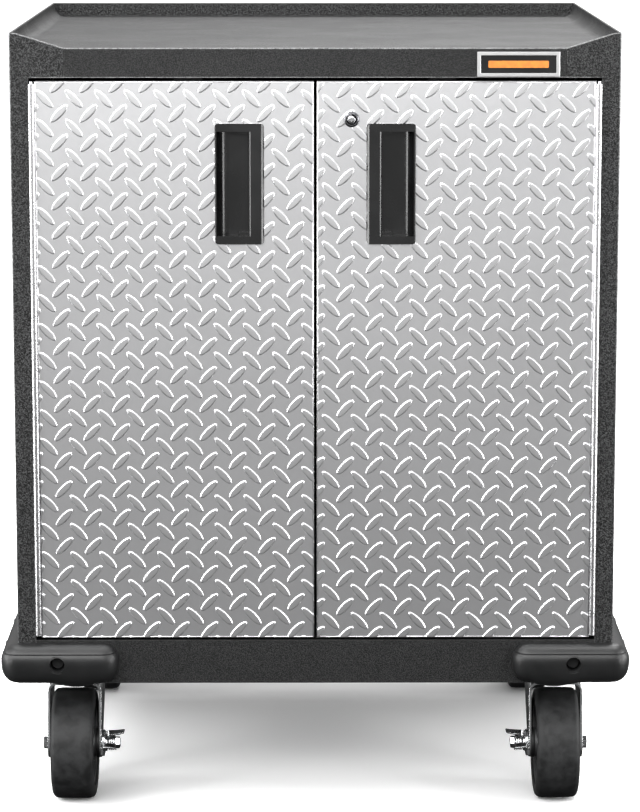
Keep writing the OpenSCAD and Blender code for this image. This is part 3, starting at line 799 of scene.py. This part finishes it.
def bumper_route(arm_x, arm_y):
    """Stations (x, y, heading) from the front nose round the corner to the side nose."""
    nose = [(arm_x, front_y, 180 + 90 * k / 8) for k in range(9)]
    front = [(arm_x + (side_x - arm_x) * k / 12, front_y, 270) for k in range(1, 12)]
    corner = [(side_x, front_y, 270 + 90 * k / 8) for k in range(9)]
    side = [(side_x, front_y + (arm_y - front_y) * k / 6, 360) for k in range(1, 6)]
    tail = [(side_x, arm_y, 360 + 90 * k / 8) for k in range(9)]
    return nose + front + corner + side + tail


# %% Sweeping a bumper
def sweep_bumper(low, high, middle_z):
    """Lays the section out at every station; the lower half is stretched where the arm sags."""
    reach = high.x - side_x
    section = [(out * MM, up * MM) for out, up in BUMPER_SECTION]
    bm = bmesh.new()
    rows = []
    for x, y, heading in bumper_route(low.x + reach, high.y - reach):
        outward = Vector((math.cos(math.radians(heading)), math.sin(math.radians(heading)), 0))
        share = (x - side_x + BELLY_FROM) / (BELLY_FROM - BELLY_TO)
        share = min(max(share, 0), 1) if heading == 270 else 0
        sag = BELLY * math.sin(math.pi * share) ** 1.5
        stretch = 1 + sag / (middle_z - low.z)
        row = []
        for out, up in section:
            height = up * stretch if up < 0 else up
            row.append(bm.verts.new(Vector((x, y, middle_z + height)) + outward * out))
        rows.append(row)
    for first, second in zip(rows, rows[1:]):
        for k in range(len(section) - 1):
            bm.faces.new((first[k], first[k + 1], second[k + 1], second[k]))
        if (first[0].co - second[0].co).length > 0.01 * MM:
            bm.faces.new((first[0], second[0], second[-1], first[-1]))
    return bm


# %% Cutting one shape out of another
def cut_away(bm, cutter_bm, name):
    """A bmesh of the first shape less the second."""
    body = as_object(bm, name)
    cutter = as_object(cutter_bm, name + "_cutter")
    cut = body.modifiers.new("cut", "BOOLEAN")
    cut.operation, cut.solver, cut.object = "DIFFERENCE", "EXACT", cutter
    result = bpy.data.meshes.new_from_object(body.evaluated_get(bpy.context.evaluated_depsgraph_get()))
    left_over = bmesh.new()
    left_over.from_mesh(result)
    for used in (body, cutter):
        bpy.data.objects.remove(used)
    bpy.data.meshes.remove(result)
    return left_over


# %% All four bumpers
HOLE_R, HOLE_DEPTH = 8.6 * MM, 60 * MM
COLLAR = ((7.9, 2), (7.9, 15.4), (9.7, 18.6), (10.0, 18.9), (10.4, 18.4), (10.4, 2))


def make_bumper(end, side):
    """The front right bumper is made in place and mirrored to its corner."""
    low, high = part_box("front_right_bumper")
    screws_low, screws_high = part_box("bumper_screws")
    screw_z = (screws_low.z + screws_high.z) / 2
    places = [(Vector((side_x - 45.2 * MM, front_y, screw_z)), "Y")]
    places += [(Vector((side_x, front_y + back, screw_z)), "X") for back in (50 * MM, 150 * MM)]
    holes = bmesh.new()
    for place, axis in places:
        turned = Matrix.Rotation(math.pi / 2, 4, "X" if axis == "Y" else "Y")
        bmesh.ops.create_cone(holes, cap_ends=True, segments=40, radius1=HOLE_R, radius2=HOLE_R,
                              depth=HOLE_DEPTH, matrix=Matrix.Translation(place) @ turned)
    bm = cut_away(sweep_bumper(low, high, low.z + 27 * MM), holes, f"{end}_{side}_bumper_blank")
    for place, axis in places:
        turn_outline(bm, outline_mm(COLLAR, 0, -1 if axis == "Y" else 1), place, axis, 40)
    flip = Vector((1 if side == "right" else -1, 1 if end == "front" else -1, 1))
    bmesh.ops.scale(bm, vec=flip, verts=bm.verts[:])
    hard_edges(finish_piece(bm, f"{end}_{side}_bumper_shaped", "cabinet", BUMPER_PLASTIC,
                            [f"{end}_{side}_bumper"]), 24)


for end in ("front", "rear"):
    for side in SIDES:
        make_bumper(end, side)

# %% [markdown]
# ## Bent strips
# Brackets, forks and pedals are strips of plate bent along a path. A strip is a list of stations,
# each with a place on the middle of the plate and the two edges' positions, given a thickness.

# %% Bending a strip along a path
def bend_strip(bm, stations, thickness):
    """Stations are (x, z, y_low, y_high); the path lies in the XZ plane and the width along Y."""
    rows = []
    for k, (x, z, y_low, y_high) in enumerate(stations):
        before = stations[max(k - 1, 0)]
        after = stations[min(k + 1, len(stations) - 1)]
        heading = Vector((after[0] - before[0], 0, after[1] - before[1])).normalized()
        outward = Vector((heading.z, 0, -heading.x)) * thickness / 2
        middle = Vector((x, 0, z))
        rows.append([bm.verts.new(middle + outward * s + Vector((0, y, 0)))
                     for s, y in ((1, y_low), (1, y_high), (-1, y_high), (-1, y_low))])
    loft(bm, rows)


# %% [markdown]
# ## Front forks
# A swivel fork is one strip: up a leg, round a shoulder, over the crown and down the other leg. The
# legs are raked towards the axle and end in a round foot. A turned cup for the balls sits on top.

# %% Front forks
FOOT_R, SHOULDER_R = 17 * MM, 9 * MM
FORK_PLATE, FORK_HALF = 3 * MM, 29.5 * MM
SWIVEL_FROM_BACK = 36 * MM


def fork_edges(z, wheel_z, axle_y, top_z, top_low, top_high):
    """Where the leg's two edges lie at height z: straight rakes that end in a round foot."""
    if z <= wheel_z:
        half = math.sqrt(max(FOOT_R ** 2 - (wheel_z - z) ** 2, 0))
        return axle_y - half, axle_y + half
    share = min((z - wheel_z) / (top_z - wheel_z), 1)
    low, high = axle_y - FOOT_R, axle_y + FOOT_R
    return low + (top_low - low) * share, high + (top_high - high) * share


def fork_path(wheel_z, crown_z):
    """Points (x, z) up one leg, over the crown and down the other."""
    bend_z = crown_z - SHOULDER_R
    heights = [wheel_z - FOOT_R * math.cos(math.radians(t)) for t in range(8, 91, 12)]
    heights += [wheel_z + (bend_z - wheel_z) * k / 5 for k in range(1, 6)]
    path = [(-FORK_HALF, z) for z in heights]
    for t in range(15, 91, 15):
        turn = math.radians(t)
        path.append((-FORK_HALF + SHOULDER_R * (1 - math.cos(turn)), bend_z + SHOULDER_R * math.sin(turn)))
    return path + [(0.0, crown_z)] + [(-x, z) for x, z in reversed(path)]


def make_fork(side):
    low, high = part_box(f"front_{side}_yoke")
    tyre_low, tyre_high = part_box(f"front_{side}_tyre")
    centre_x = (low.x + high.x) / 2
    wheel_z = tyre_high.z / 2
    axle_y = (tyre_low.y + tyre_high.y) / 2
    swivel_y = high.y - SWIVEL_FROM_BACK
    crown_z = high.z - 11.5 * MM
    stations = []
    for x, z in fork_path(wheel_z, crown_z):
        edges = fork_edges(z, wheel_z, axle_y, crown_z - SHOULDER_R, swivel_y - 43 * MM, swivel_y + 35 * MM)
        stations.append((centre_x + x, z, *edges))
    bm = bmesh.new()
    bend_strip(bm, stations, FORK_PLATE)
    base, lip = crown_z + 1.4 * MM, high.z
    cup = outline_mm(((7.2, 0), (31, 0), (33.2, 1.2), (34, 3)), base)
    cup += outline_mm(((34, -0.6), (33.2, 0), (31.2, 0), (30.6, -0.8)), lip)
    cup += outline_mm(((30.6, 3.5), (7.2, 3.5)), base)
    turn_outline(bm, cup, (centre_x, swivel_y, 0), "Z", 72)
    piece = finish_piece(bm, f"front_{side}_fork_shaped", f"front_{side}_swivel", BRIGHT_ZINC,
                         [f"front_{side}_yoke"])
    soften(piece, 0.5 * MM, 2, 50)


for side in SIDES:
    make_fork(side)

# %% [markdown]
# ## Brake levers
# The brake is a rocker on the nut end of the axle, pressed from plate, with a pedal at each end and
# a cam between them. Each pedal is a bent strip, so that a foot finds a curved edge.

# %% Brake levers
PEDAL_BEND, PEDAL_START, PEDAL_PLATE = 3.5 * MM, 1 * MM, 1.8 * MM
LEVER_PLATE = 3 * MM
CAM = ((4.2, 3.0), (10, 3.0), (10, 5.2), (9.2, 5.8), (4.2, 5.8))


def add_pedal(bm, near, inward, y_low, y_high, length, start_z, drop):
    """A strip that rises from the plate, bends over and runs out to a narrower, curved edge."""
    stations = []
    for k in range(5):
        turn = math.radians(90 * k / 4)
        out = PEDAL_START + PEDAL_BEND * (1 - math.cos(turn))
        stations.append((near + inward * out, start_z + PEDAL_BEND * math.sin(turn), y_low, y_high))
    for k in range(1, 6):
        share = k / 5
        out = PEDAL_START + PEDAL_BEND + (length - PEDAL_BEND - PEDAL_START) * share
        taper = 1.5 * MM * share ** 2
        z = start_z + PEDAL_BEND - drop * share ** 2
        stations.append((near + inward * out, z, y_low + taper, y_high - taper))
    bend_strip(bm, stations if inward > 0 else stations[::-1], PEDAL_PLATE)


def axle_of(side):
    """A front axle's centre, and the sign of the way from its brake to the wheel along X."""
    low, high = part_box(f"front_{side}_tyre")
    return (low + high) / 2, -1 if side == "right" else 1


def make_lever(side):
    """The plate's outline is in millimetres from the axle: a round hump between two arms."""
    low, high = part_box(f"front_{side}_brake_lever")
    centre, inward = axle_of(side)
    near = high.x if side == "right" else low.x
    bm = bmesh.new()
    for y_low, y_high, length, z, drop in ((-38, -22, 16.5, 1.5, 1.5), (22, 40, 23.5, -1.5, -2.0)):
        add_pedal(bm, near, inward, centre.y + y_low * MM, centre.y + y_high * MM, length * MM,
                  centre.z + z * MM, drop * MM)
    turns = [math.radians(-90 + 15 * k) for k in range(13)]
    outline = [(-38, -4), (-38, 5)] + [(13.5 * math.sin(turn), 15 * math.cos(turn)) for turn in turns]
    outline += [(40, 2), (40, -6), (11, -13), (-11, -13)]
    loft(bm, [[bm.verts.new((x, centre.y + y * MM, centre.z + z * MM)) for y, z in outline]
              for x in (near, near + inward * LEVER_PLATE)])
    turn_outline(bm, outline_mm(CAM, 0, inward), (near, centre.y, centre.z), "X", 40)
    piece = finish_piece(bm, f"front_{side}_brake_lever_shaped", f"front_{side}_brake", BRIGHT_ZINC,
                         [f"front_{side}_brake_lever"])
    soften(piece, 0.4 * MM, 2, 50)


for side in SIDES:
    make_lever(side)

# %% [markdown]
# ## Brake springs
# A coil spring round the axle's end holds each brake lever up. The wire is swept along a helix,
# and its ends run out straight to the lever and to the fork.

# %% Brake springs
COIL_R, COIL_TURNS, COIL_STEPS, COIL_PITCH = 8.5 * MM, 3.5, 16, 2.3 * MM
NUT = ((5.2, 0), (8.2, 0.6), (8.6, 2), (8.2, 5.5), (5.2, 6.2))
NUT_SHRINK = 0.85


def make_spring(side):
    """The coil, its two straight ends, and the axle's nut beyond it."""
    lever_low, lever_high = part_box(f"front_{side}_brake_lever")
    centre, inward = axle_of(side)
    start = (lever_high.x if side == "right" else lever_low.x) + inward * 6.5 * MM
    line = [(start, centre.y + 2 * MM, centre.z + COIL_R + 5 * MM)]
    for k in range(int(COIL_TURNS * COIL_STEPS) + 1):
        turn = math.radians(90) - 2 * math.pi * k / COIL_STEPS
        x = start + inward * COIL_PITCH * k / COIL_STEPS
        line.append((x, centre.y + COIL_R * math.cos(turn), centre.z + COIL_R * math.sin(turn)))
    line.append((line[-1][0], line[-1][1] + 9 * MM, line[-1][2] - 3 * MM))
    bm = bmesh.new()
    add_rod(bm, line, 0.9 * MM, 8)
    nut = [(radius * NUT_SHRINK, out) for radius, out in outline_mm(NUT, 0, inward)]
    turn_outline(bm, nut, (start + inward * 8 * MM, centre.y, centre.z), "X", 6)
    hard_edges(finish_piece(bm, f"front_{side}_brake_spring", f"front_{side}_swivel", BRIGHT_ZINC), 50)


for side in SIDES:
    make_spring(side)

# %% [markdown]
# ## The lock
# A cam lock shows a stepped, polished ring and a slightly domed plug with a key slot. Both are
# turned; the slot is cut in the plug's face, which turns with the plug.

# %% Lock ring and plug
LOCK_RING_FRONT = ((4.5, 3.0), (5.6, 1.6), (5.9, 0), (6.5, 0), (6.8, 0.5), (6.9, 1.4), (8.2, 1.8),
                   (8.7, 2.5), (8.7, 4.2), (6.4, 4.2))
PLUG_R, SHAFT_R = 4.35 * MM, 3 * MM
SLOT_SIZE = (1.1 * MM, 9 * MM, 5.4 * MM)


def make_lock_ring(low, high, centre):
    """The ring's section runs from the plug, over the front, to the tube behind the door."""
    ring = outline_mm(LOCK_RING_FRONT, low.y) + [(6.4 * MM, high.y), (4.5 * MM, high.y)]
    bm = bmesh.new()
    turn_outline(bm, ring, centre, "Y", 64)
    hard_edges(finish_piece(bm, "lock_ring", "right_door", LOCK_RING, ["lock_housing"]), 40)


def make_lock_plug(centre):
    low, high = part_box("lock_plug")
    shaft = high.y - 6 * MM
    outline = [(0.0, high.y), (SHAFT_R, high.y), (SHAFT_R, shaft), (PLUG_R, shaft)]
    for t in range(0, 90, 15):
        turn = math.radians(t)
        outline.append((PLUG_R * math.cos(turn), low.y + 1.0 * MM * (1 - math.sin(turn))))
    bm = bmesh.new()
    turn_outline(bm, outline + [(0.0, low.y)], centre, "Y", 48, closed=False)
    slot = bmesh.new()
    place = Matrix.Translation((centre.x, low.y, centre.z)) @ Matrix.Diagonal((*SLOT_SIZE, 1))
    bmesh.ops.create_cube(slot, size=1, matrix=place)
    bm = cut_away(bm, slot, "lock_plug_blank")
    hard_edges(finish_piece(bm, "lock_plug_shaped", "lock", LOCK_CHROME, ["lock_plug"]), 40)


housing_low, housing_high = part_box("lock_housing")
lock_centre = Vector(((housing_low.x + housing_high.x) / 2, 0, (housing_low.z + housing_high.z) / 2))
make_lock_ring(housing_low, housing_high, lock_centre)
make_lock_plug(lock_centre)

# %% [markdown]
# ## The badge
# The badge is a plain framed plate. One orange enamel bar gives it the warm accent such a plate
# has, with no lettering or mark.

# %% Badge bar
def make_badge_bar():
    low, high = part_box("badge_plate")
    middle = (low + high) / 2
    half_w, half_h, corner = (high.x - low.x) * 0.40, (high.z - low.z) * 0.20, 1.2 * MM
    bm = bmesh.new()
    outline = []
    for sx, sz, start in ((1, 1, 0), (-1, 1, 90), (-1, -1, 180), (1, -1, 270)):
        for k in range(5):
            turn = math.radians(start + 90 * k / 4)
            outline.append((middle.x + sx * (half_w - corner) + corner * math.cos(turn),
                            middle.z + sz * (half_h - corner) + corner * math.sin(turn)))
    loft(bm, [[bm.verts.new((x, y, z)) for x, z in outline] for y in (low.y + 0.2 * MM, low.y - 0.35 * MM)])
    piece = finish_piece(bm, "badge_bar", "cabinet", BADGE_ORANGE, smooth=False)
    soften(piece, 0.15 * MM)


make_badge_bar()

# %% [markdown]
# ## Camera
# A long lens, about three and a half metres away and a little above the top, keeps the doors
# almost square. It looks down by about nine degrees, and a small shift frames the cabinet.

# %% Camera
CAMERA_PLACE = Vector((-0.010, -3.652, 1.106))
CAMERA_PITCH, CAMERA_YAW = 8.86, 0.26
camera_data = bpy.data.cameras.new("camera")
camera_data.lens = 135.4
camera_data.sensor_width = 36
camera_data.shift_y = -0.12
camera = bpy.data.objects.new("camera", camera_data)
bpy.context.scene.collection.objects.link(camera)
camera.location = CAMERA_PLACE
camera.rotation_euler = (math.radians(90 - CAMERA_PITCH), 0, math.radians(-CAMERA_YAW))
bpy.context.scene.camera = camera
print("camera at", tuple(round(v, 3) for v in CAMERA_PLACE), "lens", camera_data.lens)

# %% [markdown]
# ## Studio
# The cabinet stands on a plain floor in soft light. A key from the upper left draws the bright flank
# of every lug and leaves the lower right one dark. A wide softbox in front fills the doors, and other
# lights cover the top and the rear. Boxes and strips at the sides draw light lines on the pulls and
# edges, and low ones reach the casters.
#
# The doors mirror the floor; for reflections and bounced light its colour is painted dark near them and
# pale farther out, a painted shade. Seen by the camera it is pale, with a soft grey band beneath the
# cabinet: a painted shadow.

# %% Floor
def make_floor():
    bm = bmesh.new()
    bmesh.ops.create_grid(bm, x_segments=1, y_segments=1, size=30)
    mesh = bpy.data.meshes.new("floor")
    bm.to_mesh(mesh)
    bm.free()
    floor = bpy.data.objects.new("floor", mesh)
    bpy.context.scene.collection.objects.link(floor)
    material, tree, shader = start_material("studio_floor", Roughness=0.9)
    seen = tree.nodes.new("ShaderNodeLightPath")
    place = tree.nodes.new("ShaderNodeTexCoord")
    split = tree.nodes.new("ShaderNodeSeparateXYZ")
    tree.links.new(place.outputs["Object"], split.inputs[0])
    # Painted shade: for reflections and bounced light the floor is near black close to the cabinet and pale
    # far out.
    mirrored_painted_shade = mix(tree, spread(tree, split.outputs["Y"], -5.0, -2.2), grey(0.68), grey(0.01))
    across = calculate(tree, "ABSOLUTE", split.outputs["X"])
    # Painted shadow: seen by the camera, the floor is grey in a band under the cabinet and white beyond it.
    ahead = mix(tree, spread(tree, split.outputs["Y"], -0.5, -0.02), grey(0.75), grey(1.5))
    painted_shadow_under = mix(tree, spread(tree, split.outputs["Y"], 0.02, 0.2), ahead, grey(0.8))
    behind = mix(tree, spread(tree, split.outputs["Y"], 0.25, 0.4), painted_shadow_under, grey(1.9))
    camera_painted_shadow = mix(tree, spread(tree, across, 0.28, 0.40), behind, grey(1.9))
    feed(tree, mix(tree, seen.outputs["Is Camera Ray"], mirrored_painted_shade, camera_painted_shadow), shader.inputs["Base Color"])
    mesh.materials.append(material)


make_floor()

# %% Lights
def area_light(name, place, aim, width, height, power):
    """A rectangular light at a place, turned towards a point."""
    data = bpy.data.lights.new(name, "AREA")
    data.shape = "RECTANGLE"
    data.size, data.size_y, data.energy = width, height, power
    light = bpy.data.objects.new(name, data)
    bpy.context.scene.collection.objects.link(light)
    light.location = place
    light.rotation_euler = (Vector(aim) - Vector(place)).to_track_quat("-Z", "Y").to_euler()
    return light


area_light("key", (-2.2, -2.2, 3.0), (0, -0.3, 0.5), 1.2, 1.2, 50)
area_light("front", (-0.35, -2.2, 1.57), (0, -0.3, 0.7), 2.2, 0.8, 37)
area_light("top", (0.2, 0.25, 2.6), (0.2, 0.25, 0.85), 2.4, 2.1, 100)
for sign in (-1, 1):
    area_light("side_box", (sign * 1.7, -1.4, 0.85), (0, -0.3, 0.75), 0.3, 1.0, 11)
    area_light("side_strip", (sign * 1.9, -0.36, 0.62), (0, -0.32, 0.62), 0.4, 1.0, 16)
    area_light("low_side", (sign * 1.3, -0.75, 0.10), (sign * 0.28, -0.25, 0.08), 0.5, 0.16, 3)
area_light("back", (0.8, 2.4, 3.2), (0, 0.3, 0.5), 2.0, 1.2, 60)
print(len(bpy.data.lights), "lights")

# %% [markdown]
# The world is white where the camera sees it. Elsewhere it is a grey ramp, darkest in front near the
# floor and white to both sides.

# %% World
def make_world():
    world = bpy.data.worlds.new("studio")
    bpy.context.scene.world = world
    world.use_nodes = True
    tree = world.node_tree
    background = tree.nodes["Background"]
    seen = tree.nodes.new("ShaderNodeLightPath")
    way = tree.nodes.new("ShaderNodeTexCoord")
    split = tree.nodes.new("ShaderNodeSeparateXYZ")
    tree.links.new(way.outputs["Generated"], split.inputs[0])
    sideways = calculate(tree, "ABSOLUTE", split.outputs["X"])
    ahead = mix(tree, spread(tree, split.outputs["Z"], 0.0, 0.5), grey(0.2), grey(0.9))
    ramp = mix(tree, spread(tree, split.outputs["Y"], 0.0, 0.7), ahead, grey(0.6))
    sides = mix(tree, spread(tree, sideways, 0.55, 0.92), ramp, grey(1.0))
    feed(tree, mix(tree, seen.outputs["Is Camera Ray"], sides, grey(1.0)), background.inputs["Color"])
    background.inputs["Strength"].default_value = 1.0


make_world()
bpy.context.scene.view_settings.view_transform = "Standard"
